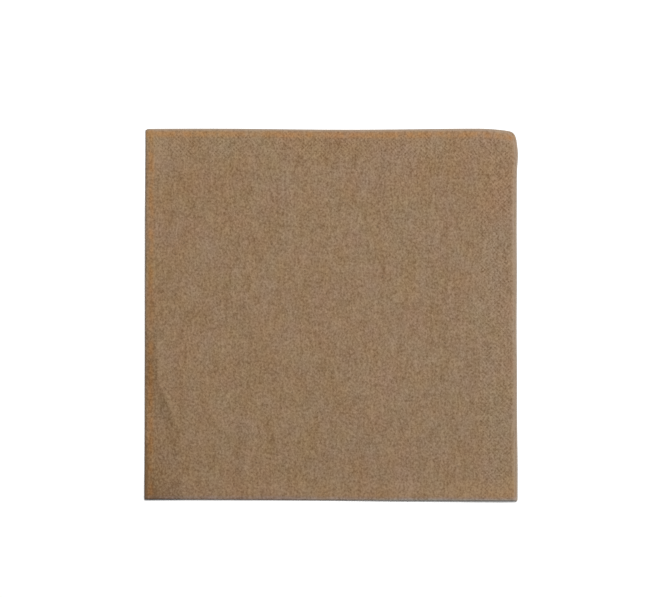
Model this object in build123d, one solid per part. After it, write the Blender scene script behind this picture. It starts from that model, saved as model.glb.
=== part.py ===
from build123d import *
import os
from math import atan2, degrees, pi, radians, tan

# Paper napkin: one square sheet of brown two-ply tissue, folded in half twice
# and lying flat. Seen from above it is a square of four leaves.
#
# The first fold closes the edge towards -Y and the second fold the edge
# towards -X. The corner where they meet is closed, and the edges towards +X
# and +Y are the sheet's own cut edges, four leaves deep. A little inside all its
# cut edges the sheet has a coined band, which the embossing rollers pressed thin
# to hold the two plies together. The margin beyond the band is plain.
#
# The origin is under the middle of the folded square, on the surface that the
# napkin lies on. All sizes are in millimetres.

# The sheet, spread flat. Its coined band is wider beside the edges that end up
# towards +X than beside those towards +Y.
sheet_side = 330.0
sheet_thickness = 0.25
margin_width = 2.0
band_width_x = 14.0
band_width_y = 11.0
band_thickness = 0.19

# How the leaves lie: the air between two of them, and how far the upper pair
# has sprung open, measured at the edge towards +X.
leaf_gap = 0.34
spring_open = 0.35

# The open corner of each leaf, where the cut edge along +Y falls away over a
# long stretch, turns with a small radius and runs on into the edge along +X.
corner_fall_length = 18.0
corner_fall = 1.3
corner_lean_length = 7.0
corner_lean = 0.7
corner_radius = 2.2
corner_easing = 0.45

# The four leaves as a stack, and the middle radius of each fold.
leaf_pitch = sheet_thickness + leaf_gap
stack_height = 4 * sheet_thickness + 3 * leaf_gap
fold_radius = leaf_pitch / 2
inner_leaf_radius = leaf_pitch / 2
outer_leaf_radius = 3 * leaf_pitch / 2
spring_angle = atan2(spring_open, sheet_side / 2)

# Each leaf is what the folds leave of the sheet's half side.
leaf_depth = sheet_side / 2 - pi / 2 * fold_radius
inner_leaf_length = (sheet_side - (pi - spring_angle) * inner_leaf_radius) / 2
outer_leaf_length = (sheet_side - (pi - spring_angle) * outer_leaf_radius) / 2

# The folds' axes: the first runs along X, the second along Y. Each fold
# reaches this far past its axis, and the folded square is centred on the origin.
first_fold_reach = fold_radius + sheet_thickness / 2
second_fold_reach = stack_height / 2
first_fold_y = (first_fold_reach - leaf_depth) / 2
second_fold_x = (second_fold_reach - inner_leaf_length) / 2
second_fold_z = stack_height / 2
upper_pair_z = second_fold_z + leaf_pitch
second_fold_axis = Axis((second_fold_x, 0, second_fold_z), (0, 1, 0))
section_place = Plane.YZ.offset(second_fold_x) * Pos(first_fold_y, upper_pair_z)

# Tools reach this far past what they trim.
overreach = stack_height


def half_slot(radius, length):
    """A bar of this length with a round end about the first fold's axis."""
    bar = Rectangle(length, 2 * radius, align=(Align.MIN, Align.CENTER))
    return Circle(radius) + bar


def fold_section(thickness, length):
    """Two leaves of the upper pair and the first fold that joins them, cut across."""
    outside = half_slot(fold_radius + thickness / 2, length)
    inside = half_slot(fold_radius - thickness / 2, length)
    return section_place * (outside - inside)


def coined_section():
    """The same section where it meets the second fold, thinner in its coined band."""
    band_start = leaf_depth - margin_width - band_width_y
    plain_height = 2 * first_fold_reach
    band = Pos(band_start, 0) * Rectangle(band_width_y, plain_height, align=(Align.MIN, Align.CENTER))
    plain = fold_section(sheet_thickness, leaf_depth) - section_place * band
    return plain + fold_section(band_thickness, leaf_depth)


def corner_points(end_x, end_y):
    """The open corner's turning points, from the edge along +X to the edge along +Y."""
    return [
        (end_x, end_y - corner_lean_length),
        (end_x - corner_lean, end_y - corner_fall),
        (end_x - corner_fall_length, end_y),
    ]


def easing_radius(before, corner, after):
    """Radius of the arc that eases a turn over a share of its shorter side."""
    side_in = Vector(*corner) - Vector(*before)
    side_out = Vector(*after) - Vector(*corner)
    turn = radians(side_in.get_angle(side_out))
    shorter = min(side_in.length, side_out.length)
    return corner_easing * shorter / tan(turn / 2)


def leaf_outline(length):
    """One leaf seen from above, cut round at its open corner and free at its folds."""
    end_x = second_fold_x + length
    end_y = first_fold_y + leaf_depth
    start = (second_fold_x - overreach, first_fold_y - first_fold_reach - overreach)
    side, tip, top = corner_points(end_x, end_y)
    below = (end_x, start[1])
    beyond = (start[0], end_y)
    radii = [easing_radius(below, side, tip), corner_radius, easing_radius(tip, top, beyond)]
    edge = FilletPolyline(below, side, tip, top, beyond, radius=radii)
    return make_face(edge + Polyline(beyond, start, below))


def inset_outline(length, inset_x, inset_y):
    """A leaf seen from above, without this much beside each of its cut edges."""
    start_x = second_fold_x - overreach
    start_y = first_fold_y - first_fold_reach - overreach
    width = second_fold_x + length - inset_x - start_x
    height = first_fold_y + leaf_depth - inset_y - start_y
    return Pos(start_x, start_y) * Rectangle(width, height, align=(Align.MIN, Align.MIN))


def plain_outline(length):
    """A leaf seen from above, without its coined band: the field and the margin."""
    inside_margin = inset_outline(length, margin_width, margin_width)
    field = inset_outline(length, margin_width + band_width_x, margin_width + band_width_y)
    return leaf_outline(length) - inside_margin + field


def pair_trim(outline):
    """What the upper pair may fill: the inner leaf ends further out than the outer one."""
    inner_height = leaf_pitch + overreach
    inner = Pos(Z=second_fold_z - overreach) * extrude(outline(inner_leaf_length), inner_height)
    outer = Pos(Z=upper_pair_z) * extrude(outline(outer_leaf_length), leaf_pitch + overreach)
    return inner + outer


def leaf_pair():
    """The upper two leaves with the first fold, lying closed on the lower two."""
    longest = inner_leaf_length + overreach
    thin = extrude(fold_section(band_thickness, leaf_depth + overreach), longest)
    thick = extrude(fold_section(sheet_thickness, leaf_depth + overreach), longest)
    return (thin & pair_trim(leaf_outline)) + (thick & pair_trim(plain_outline))


def second_fold(lower_section):
    """The first fold's section carried round from the lower pair to the upper one."""
    return revolve(lower_section, second_fold_axis, 180 - degrees(spring_angle))


def folded_sheet():
    """The whole sheet: lower pair, second fold and the upper pair, sprung open."""
    closed_pair = leaf_pair()
    mirror_plane = Plane.XY.offset(second_fold_z)
    lower_pair = mirror(closed_pair, mirror_plane)
    upper_pair = closed_pair.rotate(second_fold_axis, -degrees(spring_angle))
    lower_section = mirror(coined_section(), mirror_plane)
    return lower_pair + second_fold(lower_section) + upper_pair


napkin = folded_sheet()
napkin.label = "napkin"

os.makedirs("parts", exist_ok=True)
export_step(napkin, "parts/napkin.step")

folded_width = second_fold_reach + inner_leaf_length
folded_depth = first_fold_reach + leaf_depth
print(f"folded to {folded_width:.2f} by {folded_depth:.2f} mm, closed stack {stack_height:.2f} mm")
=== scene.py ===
import math

import bpy
import numpy as np
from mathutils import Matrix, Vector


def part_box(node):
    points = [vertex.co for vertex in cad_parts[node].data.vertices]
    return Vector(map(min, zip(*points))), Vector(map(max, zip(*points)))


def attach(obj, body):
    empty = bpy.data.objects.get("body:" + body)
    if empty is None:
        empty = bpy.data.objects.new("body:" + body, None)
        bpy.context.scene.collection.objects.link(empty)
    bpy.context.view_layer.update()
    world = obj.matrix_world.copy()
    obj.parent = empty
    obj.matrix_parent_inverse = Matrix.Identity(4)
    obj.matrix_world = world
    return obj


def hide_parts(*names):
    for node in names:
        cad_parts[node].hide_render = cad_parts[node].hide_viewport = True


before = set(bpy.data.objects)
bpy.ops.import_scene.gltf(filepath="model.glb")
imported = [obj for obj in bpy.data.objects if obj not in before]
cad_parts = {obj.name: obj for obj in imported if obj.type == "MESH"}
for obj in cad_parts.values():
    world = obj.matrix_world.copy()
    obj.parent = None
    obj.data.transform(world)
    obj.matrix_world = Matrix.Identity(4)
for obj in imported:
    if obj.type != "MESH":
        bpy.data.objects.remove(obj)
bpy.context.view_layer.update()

# The napkin is one square sheet of brown two-ply tissue, folded in half twice.
# Rollers press a band of small diamonds into it just inside its cut edges, which
# holds the two plies together. Its sizes are in millimetres.

MM = 0.001
sheet_side = 330.0
sheet_thickness = 0.25
band_thickness = 0.19
leaf_gap = 0.34

# The band, counted in diamonds from the cut edge: where it starts, how soft its
# borders are, and where it ends beside the edges that end up towards +X and beside
# those towards +Y.
diamonds_across = 186
diamond_pitch = sheet_side / diamonds_across
diamond_height = 0.06
band_start = 0.8
band_blur = 0.5
band_end_u = 9.3
band_end_v = 7.7
half_side = sheet_side / 2

# Each fold is a half circle that its leaves run out of. The first one lies
# along X, and the second one, along Y, takes the first one round with it.
leaf_pitch = sheet_thickness + leaf_gap
first_fold_radius = leaf_pitch / 2
outer_leaf_radius = 3 * leaf_pitch / 2
napkin_low, napkin_high = [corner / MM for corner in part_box("napkin")]
first_fold_y = napkin_low.y + first_fold_radius + sheet_thickness / 2
second_fold_x = napkin_low.x + outer_leaf_radius + sheet_thickness / 2

# The machine folds a little off the sheet's middle, so the leaves' cut edges
# don't quite meet, and the fold runs a little askew. The upper pair of leaves
# lies a little further back than the lower one, and both are turned a little. The
# second fold and the cut edges beside it lean by this much for each millimetre
# along them, and the first fold bows in a little near the second one.
first_fold_offset = 0.15
second_fold_offset = 0.09
fold_skew = 0.0008
pair_shift = 0.23
upper_turn = -0.0018
lower_turn = -0.0020
fold_lean = 0.0030
cut_lean = -0.0012
bow = 0.27
bow_middle = -52.0
bow_length = 50.0
bow_depth = 30.0
middle_level = 1.5

# The grid has cells of two diamonds by two, and narrower ones round the folds. They
# are split in four each way in the rim that holds the band and round the top leaf's
# ridge, and in two over the rest of the top leaf. The two inner leaves, which are
# hidden, stay whole and plain but for their corners.
cell_diamonds = 2
rim_cells = 5
rim_width = rim_cells * cell_diamonds * diamond_pitch
field_cells = 40
fine_split = 4
top_split = 2
ridge_reach_u = 45.0
ridge_reach_v = 90.0
first_fold_cells = 6
second_fold_cells = 10
fold_margin = 0.3
first_fold_clear = 1.0
second_fold_clear = 2.0


def line_places(fold_reach, fold_cells):
    """Places of the grid's lines across the flat sheet, the same on both sides of
    its middle: even cells in the rim and over the field, narrow ones at the fold."""
    rim = half_side - cell_diamonds * diamond_pitch * np.arange(rim_cells)
    field = np.linspace(half_side - rim_width, fold_reach, field_cells, endpoint=False)
    fold = np.linspace(fold_reach, 0, fold_cells, endpoint=False)
    outward = np.concatenate([rim, field, fold])
    return np.concatenate([-outward, [0.0], outward[::-1]])


def split_cells(splits, steps):
    """The cells of a grid, each split splits times each way, as four corners in
    steps of the finest split, with the parts that a finer cell beyond each side
    divides it into."""
    around = np.pad(splits, 1, mode="edge")
    cells = []
    for split in np.unique(splits):
        i, j = np.nonzero(splits == split)
        a, b = (part.ravel()[None, :] for part in np.indices((split, split)))
        size = steps // split
        low_i = steps * i[:, None] + size * a
        low_j = steps * j[:, None] + size * b
        beyond = [
            np.where(b == 0, around[i + 1, j][:, None], split),
            np.where(a == split - 1, around[i + 2, j + 1][:, None], split),
            np.where(b == split - 1, around[i + 1, j + 2][:, None], split),
            np.where(a == 0, around[i, j + 1][:, None], split),
        ]
        corners_i = np.stack([low_i, low_i + size, low_i + size, low_i], -1)
        corners_j = np.stack([low_j, low_j, low_j + size, low_j + size], -1)
        parts = np.maximum(np.stack(beyond, -1) // split, 1)
        cells.append([part.reshape(-1, 4) for part in (corners_i, corners_j, parts)])
    return [np.concatenate(part) for part in zip(*cells)]


def field_polygons(corners_i, corners_j, parts):
    """Points round each cell. Each side gives its first corner and the points that
    divide it evenly, where it meets the corners of finer cells."""
    count = parts.ravel()
    start = np.repeat(np.cumsum(count) - count, count)
    share = (np.arange(count.sum()) - start) / np.repeat(count, count)
    around = []
    for corners in (corners_i, corners_j):
        first, step = corners.ravel(), (np.roll(corners, -1, axis=1) - corners).ravel()
        around.append(np.rint(np.repeat(first, count) + np.repeat(step, count) * share))
    return around[0].astype(int), around[1].astype(int), parts.sum(axis=1)


def rim_triangles(corners_i, corners_j):
    """Each cell of the rim as two triangles that meet along its raised corners, so
    that four of them make a pressed diamond round each low corner."""
    turn = (np.arange(4) + (corners_i[:, :1] + corners_j[:, :1]) % 2) % 4
    halves = [0, 1, 2, 0, 2, 3]
    i = np.take_along_axis(corners_i, turn, 1)[:, halves].ravel()
    j = np.take_along_axis(corners_j, turn, 1)[:, halves].ravel()
    return i, j, np.full(len(i) // 3, 3)


def split_grid(splits, steps, in_rim):
    """Points and polygons of a grid whose cells are split unevenly, the field's
    first and then the rim's, and the number of the field's."""
    corners_i, corners_j, parts = split_cells(splits, steps)
    rim = in_rim[corners_i[:, 0] // steps, corners_j[:, 0] // steps]
    field = field_polygons(corners_i[~rim], corners_j[~rim], parts[~rim])
    coined = rim_triangles(corners_i[rim], corners_j[rim])
    i, j, totals = (np.concatenate(both) for both in zip(field, coined))
    codes = i * (steps * splits.shape[1] + 1) + j
    _, first, corner = np.unique(codes, return_index=True, return_inverse=True)
    return i[first], j[first], corner, totals, len(field[2])


def waves(x, y, seed, shortest, longest, count=9):
    """A gentle uneven surface of about -1 to 1: plane waves of random direction,
    length and phase, added up."""
    draw = np.random.default_rng(seed)
    heading = draw.uniform(0, 2 * np.pi, count)
    length = draw.uniform(shortest, longest, count)
    phase = draw.uniform(0, 2 * np.pi, count)
    along = np.multiply.outer(x, np.cos(heading)) + np.multiply.outer(y, np.sin(heading))
    return np.cos(2 * np.pi * along / length + phase).sum(-1) / np.sqrt(2 * count)


def ease(share):
    """0 below 0, 1 above 1 and a smooth S between them."""
    share = np.clip(share, 0, 1)
    return share * share * (3 - 2 * share)


def bell(distance):
    """1 on a line, dying away alike on both sides of it."""
    return np.exp(-(distance**2))


# All four corners of the sheet meet at the open corner, cut a little round: both
# cut edges fall away towards it, and the tip between them is a superellipse. The
# edge along +X stands out a little just before it falls away.
corner_fall = 1.5
corner_fall_length = 18.0
corner_lean = 0.4
corner_lean_length = 8.0
corner_bulge = 0.6
corner_bulge_place = 10.5
corner_bulge_width = 6.0
corner_tip = (3.6, 4.8)
corner_power = 3.0
corner_depth = 12.0
sway = 0.22
sway_seeds = (61, 946)
sway_lengths = (25.0, 160.0)
sway_depth = 8.0


def cut_round(u, v):
    """The sheet with its corners cut round. In the box at each corner, every square
    about the box's inner corner is drawn in to a superellipse, and then the edges
    fall by a share of the squared way to the corner, less and less inside them. The
    bulge is a bell along the edge."""
    in_u, in_v = half_side - np.abs(u), half_side - np.abs(v)
    across = np.clip(1 - in_u / corner_tip[0], 0, None)
    along = np.clip(1 - in_v / corner_tip[1], 0, None)
    square = np.maximum(across, along)
    rounded = (across**corner_power + along**corner_power) ** (1 / corner_power)
    inside = np.where((across > 0) & (along > 0), square / np.maximum(rounded, 1e-9), 1)
    in_u = in_u + across * (1 - inside) * corner_tip[0]
    in_v = in_v + along * (1 - inside) * corner_tip[1]
    fall = corner_fall * np.clip(1 - in_u / corner_fall_length, 0, 1) ** 2
    lean = corner_lean * np.clip(1 - in_v / corner_lean_length, 0, 1) ** 2
    lean = lean - corner_bulge * bell((in_v - corner_bulge_place) / corner_bulge_width)
    fall = fall * np.clip(1 - in_v / corner_depth, 0, 1)
    lean = lean * np.clip(1 - in_u / corner_depth, 0, 1)
    return np.sign(u) * (half_side - in_u - lean), np.sign(v) * (half_side - in_v - fall)


def cut_sway(out, along, seed):
    """How far the cut edges sway outward and inward along the sheet, alike on every
    leaf and less and less inside them."""
    near = ease((np.abs(out) - half_side) / sway_depth + 1)
    away = waves(np.full_like(along, half_side), np.abs(along), seed, *sway_lengths)
    return np.sign(out) * near * sway * away


def fold(u, v):
    """Where a point of the flat sheet lies once it is folded twice. Round a fold the
    sheet keeps its length, so the arc's angle is the distance over the radius and
    the rest of the way is straight. level is 0 at the lowest leaf and 3 at the top.
    The pairs' turns, the upper pair's shift, a bell for the bow and the lean follow."""
    v = v - first_fold_offset - fold_skew * u
    u = u - second_fold_offset
    turn = np.clip(v / first_fold_radius, -np.pi / 2, np.pi / 2)
    straight = np.maximum(np.abs(v) - np.pi / 2 * first_fold_radius, 0)
    y = first_fold_y + straight - first_fold_radius * np.cos(turn)
    radius = leaf_pitch + first_fold_radius * np.sin(turn)
    turn = np.clip(u / radius, -np.pi / 2, np.pi / 2)
    straight = np.maximum(np.abs(u) - np.pi / 2 * radius, 0)
    x = second_fold_x + straight - radius * np.cos(turn)
    level = middle_level + radius * np.sin(turn) / leaf_pitch
    upper = (1 + np.sin(turn)) / 2
    pair_turn = lower_turn + (upper_turn - lower_turn) * upper
    y = y + upper * pair_shift + pair_turn * (x - second_fold_x)
    bowed = bow * bell((x - bow_middle) / bow_length)
    y = y + bowed * ease(1 - (y - first_fold_y) / bow_depth)
    away = (x - napkin_low.x) / (napkin_high.x - napkin_low.x)
    return x + (fold_lean + (cut_lean - fold_lean) * away) * y, y, level


# How the stack lies: pressed flat at the closed corner, sprung up along the
# first fold towards +X, and eased down along its cut edges.
least_rise = 0.90
rest_rise = 1.75
rise_softness = 0.1
swell, swell_seed, swell_lengths = 0.16, 5, (30.0, 75.0)
spring_lift = 1.1
spring_start = 0.40
spring_depth = 45.0
edge_ease = 1.8
edge_fall = 0.45
fold_ease = 2.0
fold_fall = 0.55
ripple, ripple_seed, ripple_lengths = 0.22, 7, (20.0, 48.0)
ripple_depth = 14.0
gap_sway, gap_seeds, gap_lengths = 0.15, (11, 12), (18.0, 60.0)

# A soft ridge leaves the second fold halfway up, swings out in a slow S and runs
# down to the first fold, where it fades away. The stack falls from it to the second
# fold.
ridge_top = -2.0
ridge_turn = -23.0
ridge_foot = -58.0
ridge_end = -73.0
ridge_out_top = 5.4
ridge_out_foot = 16.2
ridge_slope = 0.11
ridge_width = 0.5

# Faint creases: both ends, height and half width. A negative one is a furrow. They
# waver a little, and fade over a quarter of their length at both ends.
creases = [
    ((-37.0, -24.0), (-39.0, -86.0), 0.80, 3.2),
    ((-45.0, 8.0), (-43.5, -46.0), -0.70, 5.5),
    ((25.0, 84.0), (25.5, 40.0), 0.95, 2.8),
    ((-35.0, 84.0), (-36.0, 50.0), -0.40, 3.0),
    ((-6.0, 70.0), (-2.0, 30.0), 0.25, 3.0),
    ((52.0, 10.0), (55.0, -60.0), 0.25, 3.0),
    ((-68.0, 84.0), (-70.0, 30.0), 0.25, 3.0),
]
crease_waver = 0.8
crease_winding = 5.0
crease_fade = 0.25


def crease_height(x, y, start, end, height, half_width):
    """A low bell across a line that wavers as a sine, fading out at both ends."""
    along = (y - start[1]) / (end[1] - start[1])
    centre = start[0] + (end[0] - start[0]) * along
    centre = centre + crease_waver * np.sin(crease_winding * along)
    fade = ease(along / crease_fade) * ease((1 - along) / crease_fade)
    return height * fade * bell((x - centre) / half_width)


def ridge_fall(x, y):
    """How far the stack falls away from the ridge towards the second fold: level
    beyond the ridge, an even slope before it, and a soft turn between them."""
    down = ease((ridge_turn - y) / (ridge_turn - ridge_foot))
    out = ridge_out_top + (ridge_out_foot - ridge_out_top) * down
    before = (napkin_low.x + out - x) / ridge_width
    start = ease((ridge_top - y) / (ridge_top - ridge_turn))
    end = ease((y - ridge_end) / (ridge_foot - ridge_end))
    return start * end * ridge_slope * ridge_width * np.logaddexp(0, before)


def stack_rise(x, y):
    """Height between the middles of the lowest and the top leaf: at rest, with the
    swell, creases and ridge, less towards the cut edges and the folds by a share that
    dies away from them, and eased so that it never comes under the least rise."""
    rise = rest_rise + swell * waves(x, y, swell_seed, *swell_lengths)
    for start, end, height, half_width in creases:
        rise = rise + crease_height(x, y, start, end, height, half_width)
    rise = rise - ridge_fall(x, y)
    to_edge = np.minimum(napkin_high.x - x, napkin_high.y - y)
    rise = rise - edge_fall * np.exp(-np.maximum(to_edge, 0) / edge_ease)
    near_edge = np.exp(-np.maximum(to_edge, 0) / ripple_depth)
    rise = rise + ripple * near_edge * waves(x, y, ripple_seed, *ripple_lengths)
    to_fold = np.minimum(x - napkin_low.x, y - napkin_low.y)
    rise = rise - fold_fall * np.exp(-np.maximum(to_fold, 0) / fold_ease)
    return least_rise + np.logaddexp(0, (rise - least_rise) / rise_softness) * rise_softness


def spring_rise(x, y):
    """How far the lowest leaf is off the table: only along the first fold, towards +X."""
    right = (x - napkin_low.x) / (napkin_high.x - napkin_low.x)
    away = (y - napkin_low.y) / spring_depth
    return spring_lift * ease((right - spring_start) / (1 - spring_start)) * ease(1 - away)


def gap_shares(x, y):
    """What share of the rise each of the three gaps has: a third, a little uneven."""
    lower, middle = (gap_sway * waves(x, y, seed, *gap_lengths) for seed in gap_seeds)
    return (1 + lower) / 3, (1 + middle) / 3, (1 - lower - middle) / 3


def band_share(u, v):
    """1 in the coined band and 0 in the margin outside it and in the field, with a
    ramp between them that is band_blur wide."""
    in_u = (half_side - np.abs(u)) / diamond_pitch
    in_v = (half_side - np.abs(v)) / diamond_pitch
    inside = np.clip((np.minimum(in_u, in_v) - band_start) / band_blur, 0, 1)
    return inside * np.clip(np.maximum(band_end_u - in_u, band_end_v - in_v) / band_blur, 0, 1)


def napkin_grid():
    """The flat sheet's grid: points, the polygons' corners, and the diamonds' height."""
    places_u = line_places(np.pi / 2 * outer_leaf_radius + fold_margin, second_fold_cells)
    places_v = line_places(np.pi / 2 * first_fold_radius + fold_margin, first_fold_cells)
    middles = [(places[1:] + places[:-1]) / 2 for places in (places_u, places_v)]
    across, along = np.meshgrid(*middles, indexing="ij")
    rim_u, rim_v = np.abs(across) > half_side - rim_width, np.abs(along) > half_side - rim_width
    in_rim = (rim_u | rim_v) & ((along > 0) | (rim_u & rim_v))
    on_top = (across > second_fold_clear) & (along > first_fold_clear)
    ridged = on_top & (across < ridge_reach_u) & (along < ridge_reach_v)
    splits = np.select([in_rim | ridged, on_top], [fine_split, top_split], 1)
    i, j, corners, totals, field_count = split_grid(splits, fine_split, in_rim)
    u = np.interp(i / fine_split, np.arange(len(places_u)), places_u)
    v = np.interp(j / fine_split, np.arange(len(places_v)), places_v)
    off_folds = np.minimum(np.abs(u) - second_fold_clear, np.abs(v) - first_fold_clear)
    sign = 1 - 2 * ((i + j) % 2)
    in_band = band_share(u, v)
    height = diamond_height * sign * in_band * np.clip(off_folds / diamond_pitch, 0, 1) * (v > 0)
    return u, v, corners, totals, field_count, height, in_band


def napkin_points(u, v, diamonds):
    """The folded sheet's points: the two folds, then the leaves' heights, each a
    share of the rise above the one below, and the diamonds. No point is nearer the
    table than half the band's thickness."""
    u, v = cut_round(u, v)
    v = v + cut_sway(v, u, sway_seeds[0])
    u = u + cut_sway(u, v, sway_seeds[1])
    x, y, level = fold(u, v)
    rise = stack_rise(x, y)
    z = sheet_thickness / 2 + diamonds + spring_rise(x, y)
    for gap_number, share in enumerate(gap_shares(x, y)):
        z = z + rise * share * np.clip(level - gap_number, 0, 1)
    return np.stack([x, y, np.maximum(z, band_thickness / 2)], axis=-1) * MM


# Edges sharper than this many degrees, such as the cut edge's, stay sharp. The
# thickness varies in steps of a thousandth.
sharp_angle = 50.0
weight_decimals = 3


def thicken(piece, thickness, thin_weight):
    """Gives the sheet its thickness about its middle, thinner in the coined band,
    with the cut edge kept sharp."""
    group = piece.vertex_groups.new(name="plies")
    for weight in np.unique(thin_weight):
        group.add(np.nonzero(thin_weight == weight)[0].tolist(), weight, "REPLACE")
    solid = piece.modifiers.new("plies", "SOLIDIFY")
    solid.thickness = thickness * MM
    solid.offset = 0
    solid.vertex_group = group.name
    evaluated = piece.evaluated_get(bpy.context.evaluated_depsgraph_get())
    mesh = bpy.data.meshes.new_from_object(evaluated)
    mesh.set_sharp_from_angle(angle=math.radians(sharp_angle))
    piece.modifiers.clear()
    piece.vertex_groups.clear()
    flat_mesh = piece.data
    piece.data = mesh
    bpy.data.meshes.remove(flat_mesh)


def make_napkin():
    """One closed mesh: the folded sheet, with its flat place kept as a UV map."""
    u, v, corners, totals, field_count, diamonds, in_band = napkin_grid()
    points = napkin_points(u, v, diamonds)
    faces = np.split(corners, np.cumsum(totals)[:-1])
    mesh = bpy.data.meshes.new("napkin_sheet")
    mesh.from_pydata(points.tolist(), [], [face.tolist() for face in faces])
    mesh.polygons.foreach_set("use_smooth", np.arange(len(mesh.polygons)) < field_count)
    flat = mesh.uv_layers.new(name="flat_sheet")
    place = np.stack([u, v], axis=-1)[corners] / sheet_side + 0.5
    flat.data.foreach_set("uv", place.astype(np.float32).ravel())
    piece = bpy.data.objects.new("napkin_sheet", mesh)
    bpy.context.scene.collection.objects.link(piece)
    thin = 1 - in_band * (1 - band_thickness / sheet_thickness)
    thicken(piece, sheet_thickness, np.round(thin, weight_decimals))
    return piece


napkin = make_napkin()
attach(napkin, "root")
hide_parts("napkin")

# Unbleached tissue: soft matt fibre, creped along Y, cloudy where it lies thicker
# and thinner, with dark flecks in it and a web of loose fibres over it. It is paler
# along its cut edges, has painted shade at the closed corner, and is a little warmer
# towards the second fold. Sizes are in millimetres of the flat sheet.
dark_paper = (0.191, 0.1105, 0.054, 1.0)
light_paper = (0.380, 0.259, 0.161, 1.0)
tissue_roughness = 0.92
tissue_specular = 0.2

# The mottle's sizes, each with how far it is drawn out along Y and its strength.
mottles = {
    "patch": (40.0, 0.6, 0.08),
    "cloud": (8.0, 0.4, 0.19),
    "tuft": (2.6, 0.65, 0.45),
    "crepe": (0.84, 0.82, 1.62),
    "streak": (1.1, 0.12, 0.42),
    "grain": (0.40, 0.8, 0.75),
}
mottle_turn = (0.6, 0.4, 0.5)
mottle_detail = 1.0


def add_node(tree, kind, values, **settings):
    """A node with its settings and its inputs, each a number or another node's output."""
    node = tree.nodes.new(kind)
    for name, setting in settings.items():
        setattr(node, name, setting)
    for name, value in values.items():
        if isinstance(value, bpy.types.NodeSocket):
            tree.links.new(value, node.inputs[name])
        else:
            node.inputs[name].default_value = value
    return node


def add_math(tree, operation, *values):
    """The result of a sum on numbers or other nodes' outputs."""
    node = add_node(tree, "ShaderNodeMath", dict(enumerate(values)), operation=operation)
    return node.outputs[0]


def add_product(tree, first, second):
    """One mask times another, or times a number."""
    return add_math(tree, "MULTIPLY", first, second)


def add_sum(tree, part, share, rest):
    """A share of one value, added to the rest."""
    return add_math(tree, "MULTIPLY_ADD", part, share, rest)


def add_step(tree, value, low, high):
    """0 at low, 1 at high and a smooth S between them."""
    values = {"Value": value, "From Min": low, "From Max": high}
    step = add_node(tree, "ShaderNodeMapRange", values, interpolation_type="SMOOTHSTEP")
    return step.outputs["Result"]


def add_fade(tree, place, distances):
    """0 at the first distance from a line, 1 at the second and a smooth S between."""
    return add_step(tree, place, *(distance / half_side for distance in distances))


def add_mix(tree, amount, first, second, blend="MIX"):
    """A colour this far from the first to the second."""
    values = {0: amount, 6: first, 7: second}
    mix = add_node(tree, "ShaderNodeMix", values, data_type="RGBA", blend_type=blend)
    return mix.outputs[2]


def add_noise(tree, flat, size, stretch=1.0):
    """Uneven paper with one size of mottle, drawn out along Y. It is turned after
    that, so that the sheet cuts askew through the noise's own grid."""
    shape = {"Vector": flat, "Scale": (1.0, stretch, 1.0), "Rotation": mottle_turn}
    drawn = add_node(tree, "ShaderNodeMapping", shape).outputs["Vector"]
    values = {"Vector": drawn, "Scale": sheet_side / size, "Detail": mottle_detail}
    return add_node(tree, "ShaderNodeTexNoise", values).outputs["Fac"]


def add_places(tree, flat):
    """How far a point is from the second and from the first fold: 0 on the fold and 1
    on the sheet's cut edge."""
    parts = add_node(tree, "ShaderNodeSeparateXYZ", {0: flat}).outputs[:2]
    middled = [add_sum(tree, part, 2.0, -1.0) for part in parts]
    return [add_math(tree, "ABSOLUTE", part) for part in middled]


# Dark flecks lie in the tissue, and loose fibres over it.
fleck_paper, fleck_size, fleck_amount = (0.120, 0.075, 0.042, 1.0), 1.1, 0.5
fleck_step = (0.69, 0.75)
fibre_paper, fibre_size, fibre_amount = (0.420, 0.290, 0.185, 1.0), 2.6, 0.35
fibre_detail = 3.0
fibre_step = (1.3, 1.9)


def add_flecks(tree, flat):
    """Up to fleck_amount on the highest tops of a fine noise, and 0 elsewhere."""
    fleck = add_step(tree, add_noise(tree, flat, fleck_size), *fleck_step)
    return add_product(tree, fleck, fleck_amount)


def add_fibres(tree, flat):
    """1 along the crests of a ridged surface, which wind and branch like loose fibres."""
    values = {"Vector": flat, "Scale": sheet_side / fibre_size, "Detail": fibre_detail}
    values |= {"Offset": 1.0, "Gain": 1.0}
    web = add_node(tree, "ShaderNodeTexNoise", values, noise_type="RIDGED_MULTIFRACTAL")
    return add_step(tree, web.outputs["Fac"], *fibre_step)


# The coined pits catch less light than the lines between them, and the rollers
# press them unevenly.
band_shade = 0.03
band_grain = 0.40
pit_shade = 0.28
pit_patch = 3.2
pit_patch_step = (0.38, 0.60)
pit_least, pit_most = 0.30, 1.2


def add_band(tree, insides):
    """1 in the coined band and 0 in the margin outside it and in the field."""
    diamond = diamond_pitch / half_side
    ends = [add_math(tree, "SUBTRACT", band_end_u * diamond, insides[0])]
    ends.append(add_math(tree, "SUBTRACT", band_end_v * diamond, insides[1]))
    before_end = add_step(tree, add_math(tree, "MAXIMUM", *ends), 0.0, diamond)
    nearest = add_math(tree, "MINIMUM", *insides)
    start = band_start * diamond
    past_start = add_step(tree, nearest, start, start + band_blur * diamond)
    return add_product(tree, before_end, past_start)


def add_pits(tree, flat, places):
    """The depth of the coined pits about their mean, from -0.4 on the raised lines
    between them to 0.6 in their middles: half the difference between a cosine across
    and one along, without its sign. They are pressed deeper in some patches."""
    turns = 2 * math.pi * half_side / diamond_pitch
    cosines = [add_math(tree, "COSINE", add_product(tree, place, turns)) for place in places]
    pits = add_math(tree, "ABSOLUTE", add_math(tree, "SUBTRACT", *cosines))
    pits = add_sum(tree, pits, 0.5, -4 / math.pi**2)
    patch = add_step(tree, add_noise(tree, flat, pit_patch), *pit_patch_step)
    return add_product(tree, pits, add_sum(tree, patch, pit_most - pit_least, pit_least))


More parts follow.
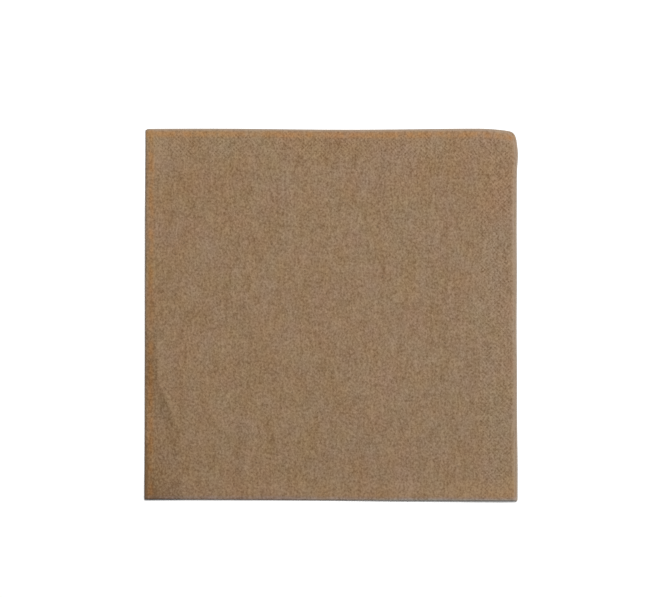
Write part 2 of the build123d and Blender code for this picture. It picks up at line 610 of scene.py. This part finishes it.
# The plain margin is paler than the band, and the cut edges' loose fibres are
# paler still.
margin_widths, margin_blur, margin_shade = (1.9, 3.8), 1.3, 0.34
margin_patch, margin_sway, margin_share = 22.0, 0.6, 0.58
cut_paper, cut_distances, cut_share = (0.400, 0.320, 0.250, 1.0), (0.80, 0.15), 0.45
outer_blend = 0.002


def add_margin(tree, flat, insides):
    """1 in the margin between the cut edge and the band, and 0 inside it. Its width
    sways in patches, and is larger on the edge beyond the first fold, but paler."""
    patch = add_noise(tree, flat, margin_patch)
    strips = []
    for inside, width in zip(insides, margin_widths):
        swayed = add_sum(tree, patch, margin_sway / half_side, inside)
        end = width + margin_sway / 2
        strips.append(add_fade(tree, swayed, (end, end - margin_blur)))
    strips[1] = add_product(tree, strips[1], margin_share)
    return add_math(tree, "MAXIMUM", *strips)


def add_cut(tree, flat, places):
    """1 on the cut edges and 0 inside them, and less on the outer leaves, which are
    the half of the sheet with the larger Y."""
    ends = (1 - distance / half_side for distance in cut_distances)
    cut = add_step(tree, add_math(tree, "MAXIMUM", *places), *ends)
    along = add_node(tree, "ShaderNodeSeparateXYZ", {0: flat}).outputs[1]
    inner = add_step(tree, along, 0.5 + outer_blend, 0.5 - outer_blend)
    return add_product(tree, cut, add_sum(tree, inner, 1 - cut_share, cut_share))


# Warm lines run beside the second fold and inside the cut edge beyond the first
# fold, where the paper was pressed and rubbed. Each has the distances from the edge
# between which it grows, and those between which it fades.
line_tint = (1.12, 0.93, 0.69, 1.0)
fold_line = ((1.2, 2.6), (5.2, 3.2))
cut_line = ((0.3, 1.7), (4.4, 2.3))
line_patch, line_stretch, line_share = 4.0, 0.6, 0.40
line_step = (0.35, 0.60)


def add_line(tree, place, distances):
    """1 a little inside an edge, and 0 on the edge and further in."""
    return add_product(tree, *(add_fade(tree, place, pair) for pair in distances))


def add_lines(tree, flat, places, insides):
    """The two warm lines, stronger and weaker in patches."""
    lines = (add_line(tree, places[0], fold_line), add_line(tree, insides[1], cut_line))
    patch = add_step(tree, add_noise(tree, flat, line_patch, line_stretch), *line_step)
    patch = add_sum(tree, patch, 1 - line_share, line_share)
    return add_product(tree, add_math(tree, "MAXIMUM", *lines), patch)


# Marks on the leaf: painted shade darkens the closed corner, painted light brightens
# the paper beside the second fold towards its top, the open corner's tip is paler, the
# open corner warm, and the hem along the first fold paler and warmer.
shaded_corner_width, shaded_corner_length, shaded_corner_shade = 24.0, 44.0, 0.28
lit_corner_width, lit_corner_length, lit_corner_shade = 18.0, 150.0, 0.13
warm_width, warm_length, warm_shade = 160.0, 70.0, 0.04
tip_length, tip_shade = 16.0, 0.18
hem_width, hem_shade = 14.0, 0.17
corner_full = 0.2

# Both folds are darker towards each other, as painted shade on the second and a painted
# shadow under the first. The first one is greyer all along, and has painted light at its
# far end, where it lies against the bright table.
second_fold_distances, second_fold_shade, second_fold_fade = (2.2, 1.2), 0.42, 1.8
first_fold_distances, first_fold_tint = (2.4, 1.0), (0.93, 1.0, 1.30, 1.0)
fold_shadow_distances, fold_shadow_lengths = (0.7, 0.3), (24.0, 8.0)
fold_shadow_tint = (0.36, 0.38, 0.46, 1.0)
lit_end_distances, lit_end_lengths = (1.3, 0.5), (50.0, 130.0)
lit_end_tint = (1.16, 1.45, 1.62, 1.0)


def add_corner(tree, out, along, width, length):
    """1 at a corner of the leaf, and 0 beyond a slanting line this far out and along."""
    beside = add_product(tree, out, half_side / width)
    slanting = add_sum(tree, along, half_side / length, beside)
    return add_step(tree, slanting, 1.0, corner_full)


def add_second_fold_shade(tree, places):
    """Painted shade: 1 on the second fold where it meets the first, less further along
    it, and 0 beside it."""
    near = add_fade(tree, places[0], second_fold_distances)
    along = add_sum(tree, places[1], -second_fold_fade, 1.0)
    return add_product(tree, near, add_math(tree, "MAXIMUM", along, 0.0))


def add_fold_end(tree, places, distances, lengths):
    """1 on the first fold at one end, and 0 further along it and beside it."""
    near = add_fade(tree, places[1], distances)
    return add_product(tree, near, add_fade(tree, places[0], lengths))


# The ridge's slope towards the second fold has painted shade and its crest painted
# light, as if catching the lamp. Lower down it is softer, and it ends in a small dent
# with painted shade. Distances are from the ridge, less than 0 towards the second fold.
ridge_shade = 0.25
ridge_fade = 0.70
slope_far, slope_full = -18.0, -3.0
slope_edge = (0.5, -0.7)
crest_edges, crest_share = ((-0.5, 0.6), (5.0, 0.6)), 0.65
low_ridge_lengths, low_ridge_edge, low_ridge_share = (28.0, 12.0), (6.5, -2.5), 0.95
dent_edges, dent_lengths, dent_share = ((-3.4, -1.6), (0.6, -1.6)), (14.0, 2.0), 0.75


def add_past_ridge(tree, places, down):
    """How far a point is past the ridge, in millimetres: its distance from the second
    fold's edge, without the way round the fold, less the ridge's own."""
    round_fold = (math.pi / 2 - 1) * outer_leaf_radius
    straight = add_sum(tree, places[0], half_side, -ridge_out_top - round_fold)
    return add_sum(tree, down, ridge_out_top - ridge_out_foot, straight)


def add_stripe(tree, past, edges):
    """1 on a stripe along the ridge and 0 beside it, with a smooth S at both edges."""
    return add_product(tree, *(add_step(tree, past, *edge) for edge in edges))


def add_ridge_shade(tree, places):
    """1 on the ridge's slope and in its dent, a little below 0 on its crest and 0
    beyond it. It starts at the ridge's top and is weaker further down."""
    bends = (ridge_top, ridge_turn, ridge_foot)
    top, turn, foot = ((place - napkin_low.y) / half_side for place in bends)
    down = add_step(tree, places[1], turn, foot)
    past = add_past_ridge(tree, places, down)
    near = add_step(tree, past, slope_far, slope_full)
    slope = add_product(tree, near, add_step(tree, past, *slope_edge))
    high = add_sum(tree, add_stripe(tree, past, crest_edges), -crest_share, slope)
    soft = add_product(tree, near, add_step(tree, past, *low_ridge_edge))
    lower = add_math(tree, "SUBTRACT", add_product(tree, soft, low_ridge_share), high)
    shade = add_sum(tree, add_fade(tree, places[1], low_ridge_lengths), lower, high)
    started = add_step(tree, places[1], top, turn)
    weaker = add_sum(tree, down, -ridge_fade, 1.0)
    shade = add_product(tree, shade, add_product(tree, started, weaker))
    dent = add_stripe(tree, past, dent_edges)
    dent = add_product(tree, dent, add_fade(tree, places[1], dent_lengths))
    return add_sum(tree, dent, dent_share, shade)


# Two tints wander over the sheet, each with its size, its drift at the second fold
# and at the cut edge, how much further it goes back to its first colour in the warm
# corner and in the hem, and its two colours.
sheet_tints = [
    (12.0, (-0.12, 0.12), 0.20, 0.60, (1.045, 0.963, 0.953, 1.0), (0.955, 1.037, 1.047, 1.0)),
    (10.5, (-0.16, 0.10), 0.05, 0.35, (1.009, 1.011, 0.874, 1.0), (0.991, 0.989, 1.126, 1.0)),
]
cloud_tint = 0.55


def add_tint(tree, flat, out, cloud, size, drift):
    """How far a tint goes to its second colour: half way, with its own mottle and a
    drift from the second fold to the cut edge, and further where the cloud is light."""
    tint = add_sum(tree, out, drift[1] - drift[0], add_noise(tree, flat, size))
    clouded = add_sum(tree, cloud, cloud_tint, drift[0] - cloud_tint / 2)
    return add_math(tree, "ADD", tint, clouded)


def add_tints(tree, flat, places, colour, cloud, warm, hem):
    """The colour times both tints."""
    for size, drift, by_warm, by_hem, first, second in sheet_tints:
        tint = add_tint(tree, flat, places[0], cloud, size, drift)
        tint = add_sum(tree, warm, -by_warm, tint)
        tint = add_sum(tree, hem, -by_hem, tint)
        colour = add_mix(tree, 1.0, colour, add_mix(tree, tint, first, second), "MULTIPLY")
    return colour


# The tissue's fine relief: the crepe's height, the pits' depth in the light, and the
# shares of the finer and the coarser mottle and of the fibres.
crepe_height = 0.16
pit_depth = 0.08
grain_relief = 0.4
tuft_relief = 0.5
fibre_relief = 0.2


def add_relief(tree, mottle, fibres, pits):
    """Height over the surface, in crepe heights: a weighted sum of what stands up."""
    relief = add_sum(tree, mottle["grain"], grain_relief, mottle["crepe"])
    relief = add_sum(tree, mottle["tuft"], tuft_relief, relief)
    relief = add_sum(tree, fibres, fibre_relief, relief)
    return add_sum(tree, pits, -pit_depth / crepe_height, relief)


def tissue_material():
    """Brown tissue: a tone of mottle and marks between dark and light paper, times the
    tints, with flecks, fibres and cut edges mixed in and the relief in its surface."""
    material = bpy.data.materials.new("brown_tissue")
    material.use_nodes = True
    tree = material.node_tree
    flat = add_node(tree, "ShaderNodeUVMap", {}, uv_map="flat_sheet").outputs["UV"]
    places = add_places(tree, flat)
    insides = [add_math(tree, "SUBTRACT", 1.0, place) for place in places]
    mottle = {}
    for name, (size, stretch, _) in mottles.items():
        mottle[name] = add_noise(tree, flat, size, stretch)
    band = add_band(tree, insides)
    pits = add_product(tree, add_pits(tree, flat, places), band)
    coarse = add_product(tree, add_math(tree, "SUBTRACT", mottle["grain"], 0.5), band)
    # Painted shade darkens the closed corner.
    shaded_corner = add_corner(tree, *places, shaded_corner_width, shaded_corner_length)
    # Painted light brightens the paper beside the second fold, towards its top.
    lit_corner = add_corner(tree, places[0], insides[1], lit_corner_width, lit_corner_length)
    tip = add_corner(tree, *insides, tip_length, tip_length)
    warm = add_corner(tree, *insides, warm_width, warm_length)
    hem = add_product(tree, places[0], add_fade(tree, places[1], (hem_width, 0.0)))

    marks = [(mottle[name], shade) for name, (_, _, shade) in mottles.items()]
    tone = 0.5 - sum(shade for _, shade in marks) / 2
    marks += [(band, band_shade), (pits, -pit_shade), (coarse, band_grain)]
    marks.append((add_margin(tree, flat, insides), margin_shade))
    # Among these are the closed corner's painted shade and the painted light beside the second
    # fold.
    marks += [(shaded_corner, -shaded_corner_shade), (lit_corner, lit_corner_shade), (tip, tip_shade)]
    marks += [(hem, hem_shade), (warm, -warm_shade)]
    # Painted shade on the ridge's slope and dent, and painted light on its crest.
    marks.append((add_ridge_shade(tree, places), -ridge_shade))
    # Painted shade on the second fold, darkest where it meets the first.
    marks.append((add_second_fold_shade(tree, places), -second_fold_shade))
    for mark, shade in marks:
        tone = add_sum(tree, mark, shade, tone)

    colour = add_mix(tree, tone, dark_paper, light_paper)
    colour = add_tints(tree, flat, places, colour, mottle["cloud"], warm, hem)
    spots = [(add_lines(tree, flat, places, insides), line_tint)]
    spots.append((add_fade(tree, places[1], first_fold_distances), first_fold_tint))
    # A painted shadow darkens the first fold at its end by the second fold.
    fold_shadow = add_fold_end(tree, places, fold_shadow_distances, fold_shadow_lengths)
    # Painted light brightens the first fold's far end, as lit by the bright table.
    lit_end = add_fold_end(tree, places, lit_end_distances, lit_end_lengths)
    spots += [(fold_shadow, fold_shadow_tint), (lit_end, lit_end_tint)]
    for spot, tint in spots:
        colour = add_mix(tree, spot, colour, tint, "MULTIPLY")
    fibres = add_fibres(tree, flat)
    colour = add_mix(tree, add_flecks(tree, flat), colour, fleck_paper)
    colour = add_mix(tree, add_product(tree, fibres, fibre_amount), colour, fibre_paper)
    colour = add_mix(tree, add_cut(tree, flat, places), colour, cut_paper)

    relief = add_relief(tree, mottle, fibres, pits)
    bump = add_node(tree, "ShaderNodeBump", {"Height": relief, "Distance": crepe_height * MM})
    shader = tree.nodes["Principled BSDF"]
    shader.inputs["Roughness"].default_value = tissue_roughness
    shader.inputs["Specular IOR Level"].default_value = tissue_specular
    tree.links.new(colour, shader.inputs["Base Color"])
    tree.links.new(bump.outputs["Normal"], shader.inputs["Normal"])
    return material


napkin.data.materials.clear()
napkin.data.materials.append(tissue_material())

# The table is a plain white board a hair below the napkin, and keeps its shadow. The
# camera sees it brighter than it lights the napkin, and pure white further out, where
# it ends in the white room. From here on sizes and places are in metres.
table_size = 4.0
table_drop = 0.03 * MM
board_roughness = 0.9
board_colour = (0.85, 0.85, 0.85, 1.0)
seen_colour = (1.25, 1.25, 1.25, 1.0)
white_start, white_end = 0.22, 0.40


def make_table():
    """A level square under the napkin, as a single face."""
    half = table_size / 2
    corners = [(-half, -half), (half, -half), (half, half), (-half, half)]
    mesh = bpy.data.meshes.new("table_top")
    mesh.from_pydata([(x, y, -table_drop) for x, y in corners], [], [(0, 1, 2, 3)])
    table = bpy.data.objects.new("table_top", mesh)
    bpy.context.scene.collection.objects.link(table)
    return table


def board_material():
    """White board: seen_colour and then pure white for the camera, and board_colour
    for the light."""
    material = bpy.data.materials.new("white_board")
    material.use_nodes = True
    tree = material.node_tree
    board = tree.nodes["Principled BSDF"]
    board.inputs["Roughness"].default_value = board_roughness
    board.inputs["Specular IOR Level"].default_value = 0.0
    seen = add_node(tree, "ShaderNodeLightPath", {}).outputs["Is Camera Ray"]
    tree.links.new(add_mix(tree, seen, board_colour, seen_colour), board.inputs["Base Color"])
    place = add_node(tree, "ShaderNodeTexCoord", {}).outputs["Object"]
    away = add_node(tree, "ShaderNodeVectorMath", {0: place}, operation="LENGTH").outputs["Value"]
    white = add_product(tree, seen, add_step(tree, away, white_start, white_end))
    glow = add_node(tree, "ShaderNodeEmission", {"Strength": 1.0}).outputs["Emission"]
    surface = add_node(tree, "ShaderNodeMixShader", {0: white, 1: board.outputs["BSDF"], 2: glow})
    tree.links.new(surface.outputs[0], tree.nodes["Material Output"].inputs["Surface"])
    return material


table = make_table()
table.data.materials.append(board_material())

# Soft studio light: one wide lamp from the upper right, and an even room that the
# camera sees as white.
lamp_place = (0.25, 0.32, 0.87)
lamp_width = 0.16
lamp_power = 7.05
room_light = 0.30

lamp_data = bpy.data.lights.new("soft_lamp", "AREA")
lamp_data.shape = "DISK"
lamp_data.size = lamp_width
lamp_data.energy = lamp_power
lamp = bpy.data.objects.new("soft_lamp", lamp_data)
lamp.location = lamp_place
lamp_reach = math.hypot(lamp_place[0], lamp_place[1])
lamp_tilt = math.atan2(lamp_reach, lamp_place[2])
lamp_turn = math.atan2(lamp_place[1], lamp_place[0])
lamp.rotation_euler = (0, lamp_tilt, lamp_turn)
bpy.context.scene.collection.objects.link(lamp)

room = bpy.data.worlds.new("room")
room.use_nodes = True
walls = room.node_tree.nodes["Background"]
walls.inputs["Color"].default_value = (1, 1, 1, 1)
seen = add_node(room.node_tree, "ShaderNodeLightPath", {}).outputs["Is Camera Ray"]
strength = add_sum(room.node_tree, seen, 1 - room_light, room_light)
room.node_tree.links.new(strength, walls.inputs["Strength"])
bpy.context.scene.world = room

# The camera looks straight down through a long lens. The napkin is 372 of the
# picture's 666 pixels wide, and its middle is 2 left of and 16 below the picture's.
# The sensor is measured in millimetres, as lenses are.
picture_width = 666
napkin_pixels = 372
pixel = (napkin_high.x - napkin_low.x) * MM / napkin_pixels
middle_left = 2.0
middle_below = 16.0
camera_height = 1.8
sensor_width = 36.0

camera_data = bpy.data.cameras.new("camera")
camera_data.sensor_width = sensor_width
camera_data.lens = sensor_width * (camera_height - napkin_high.z * MM) / (picture_width * pixel)
camera = bpy.data.objects.new("camera", camera_data)
camera.location = (middle_left * pixel, middle_below * pixel, camera_height)
bpy.context.scene.collection.objects.link(camera)
bpy.context.scene.camera = camera

bpy.context.scene.view_settings.view_transform = "Standard"
